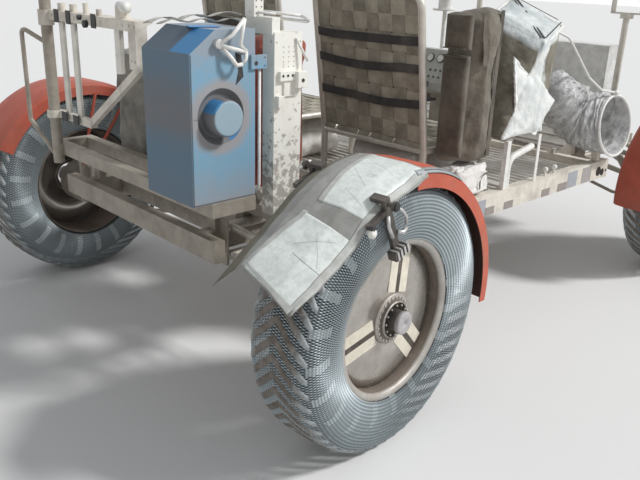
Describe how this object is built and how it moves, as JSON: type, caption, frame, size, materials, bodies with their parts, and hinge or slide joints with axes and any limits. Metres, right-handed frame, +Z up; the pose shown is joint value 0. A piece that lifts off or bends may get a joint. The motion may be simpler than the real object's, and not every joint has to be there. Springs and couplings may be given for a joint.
{
  "type": "two-seat electric planetary rover",
  "caption": "Open two-seat electric rover with wire-mesh wheels, all-wheel steering, webbing seats, dish antenna, rear tool gate and a patched fender.",
  "frame": {"origin": "on the ground, midway between the axles on the centreline", "axes": "+Y forward, +X to the vehicle's right, +Z up"},
  "size_m": [2.1738, 3.2493, 2.1363],
  "materials": {
    "frame": "bare and dusty tube",
    "rail": "dusty cream",
    "floor": "beaded sheet, dusty",
    "suspension": "satin",
    "mesh": "zinc-coated woven wire",
    "hub": "spun sheet, dusty",
    "drive": "matt white with dust",
    "fender": "orange-red fibreglass",
    "charts": "laminated sheets joined with grey tape",
    "clamp": "dusty plated metal",
    "seat_tube": "bare tube",
    "webbing": "woven nylon bands",
    "bag": "coated cloth, grey brown",
    "white_cloth": "coated white cloth",
    "foil_cloth": "wrinkled silver-grey cloth",
    "red_cloth": "red nylon",
    "instrument_blue": "matt light blue with dust",
    "white_paint": "matt white with dust",
    "console": "matt grey",
    "black_paint": "matt black",
    "dish": "fine gilt wire mesh",
    "blanket": "crinkled white insulation"
  },
  "bodies": {
    "chassis": {"center_frame": "rail", "floor_panels": "floor", "front_frame": "frame", "rear_frame": "frame", "suspension_front": "suspension", "suspension_rear": "suspension", "steering_gear": "frame", "seat_frames": "seat_tube", "seat_webbing": "webbing", "under_seat_bags": "bag", "seat_side_bag": "bag", "white_bag": "white_cloth", "bag_supports": "white_cloth", "hoop_bag": "foil_cloth", "bag_stay": "rail", "console_stand": "frame", "control_console": "console", "hand_controller": "console", "footrests": "frame", "handholds": "seat_tube", "batteries": "blanket", "drive_electronics": "blanket", "relay_unit": "white_paint", "camera_staff": "frame", "antenna_mast": "frame", "low_gain_antenna": "frame", "pallet_frame": "frame", "equipment_post": "white_paint", "instrument_box": "instrument_blue", "pallet_bags": "bag", "red_bag": "red_cloth"},
    "knuckle_front_right": {"knuckle_front_right": "drive", "fender_front_right": "fender"},
    "wheel_front_right": {"tyre_front_right": "mesh", "hub_front_right": "hub"},
    "knuckle_front_left": {"knuckle_front_left": "drive", "fender_front_left": "fender"},
    "wheel_front_left": {"tyre_front_left": "mesh", "hub_front_left": "hub"},
    "knuckle_rear_right": {"knuckle_rear_right": "drive", "fender_rear_right": "fender", "fender_maps": "charts", "fender_clamps": "clamp"},
    "wheel_rear_right": {"tyre_rear_right": "mesh", "hub_rear_right": "hub"},
    "knuckle_rear_left": {"knuckle_rear_left": "drive", "fender_rear_left": "fender"},
    "wheel_rear_left": {"tyre_rear_left": "mesh", "hub_rear_left": "hub"},
    "tool_gate": {"tool_gate": "frame", "tool_bundle": "frame"},
    "camera_yoke": {"camera_yoke": "drive"},
    "tv_camera": {"tv_camera": "white_paint"},
    "antenna_yoke": {"antenna_yoke": "drive"},
    "antenna_dish": {"antenna_dish": "dish"}
  },
  "joints": [
    {"name": "steer_front_right", "type": "hinge", "parent": "chassis", "child": "knuckle_front_right", "pos_m": [0.752, 1.143, 0.42], "axis": [0, 0, 1], "range_deg": [-45.5, 26.5]},
    {"name": "spin_front_right", "type": "hinge", "parent": "knuckle_front_right", "child": "wheel_front_right", "pos_m": [0.914, 1.13025, 0.409], "axis": [0.9969, -0.0785, 0], "continuous": true},
    {"name": "steer_front_left", "type": "hinge", "parent": "chassis", "child": "knuckle_front_left", "pos_m": [-0.752, 1.143, 0.42], "axis": [0, 0, 1], "range_deg": [-17.5, 54.5]},
    {"name": "spin_front_left", "type": "hinge", "parent": "knuckle_front_left", "child": "wheel_front_left", "pos_m": [-0.914, 1.15575, 0.409], "axis": [0.9969, -0.0785, 0], "continuous": true},
    {"name": "steer_rear_right", "type": "hinge", "parent": "chassis", "child": "knuckle_rear_right", "pos_m": [0.752, -1.143, 0.42], "axis": [0, 0, 1], "range_deg": [-26.5, 45.5]},
    {"name": "spin_rear_right", "type": "hinge", "parent": "knuckle_rear_right", "child": "wheel_rear_right", "pos_m": [0.914, -1.13025, 0.409], "axis": [0.9969, 0.0785, 0], "continuous": true},
    {"name": "steer_rear_left", "type": "hinge", "parent": "chassis", "child": "knuckle_rear_left", "pos_m": [-0.752, -1.143, 0.42], "axis": [0, 0, 1], "range_deg": [-54.5, 17.5]},
    {"name": "spin_rear_left", "type": "hinge", "parent": "knuckle_rear_left", "child": "wheel_rear_left", "pos_m": [-0.914, -1.15575, 0.409], "axis": [0.9969, 0.0785, 0], "continuous": true},
    {"name": "gate_hinge", "type": "hinge", "parent": "chassis", "child": "tool_gate", "pos_m": [-0.417, -1.45, 0.813], "axis": [0, 0, -1], "range_deg": [0, 90]},
    {"name": "camera_pan", "type": "hinge", "parent": "chassis", "child": "camera_yoke", "pos_m": [0.378, 1.33, 1.15], "axis": [0, 0, 1], "range_deg": [-214, 134]},
    {"name": "camera_tilt", "type": "hinge", "parent": "camera_yoke", "child": "tv_camera", "pos_m": [0.378, 1.33, 1.3253], "axis": [1, 0, 0], "range_deg": [-45, 85]},
    {"name": "antenna_turn", "type": "hinge", "parent": "chassis", "child": "antenna_yoke", "pos_m": [-0.378, 1.083, 1.7], "axis": [0, 0, 1], "range_deg": [-175, 175]},
    {"name": "antenna_tilt", "type": "hinge", "parent": "antenna_yoke", "child": "antenna_dish", "pos_m": [-0.378, 1.083, 1.7763], "axis": [-1, 0, 0], "range_deg": [0, 90]}
  ]
}
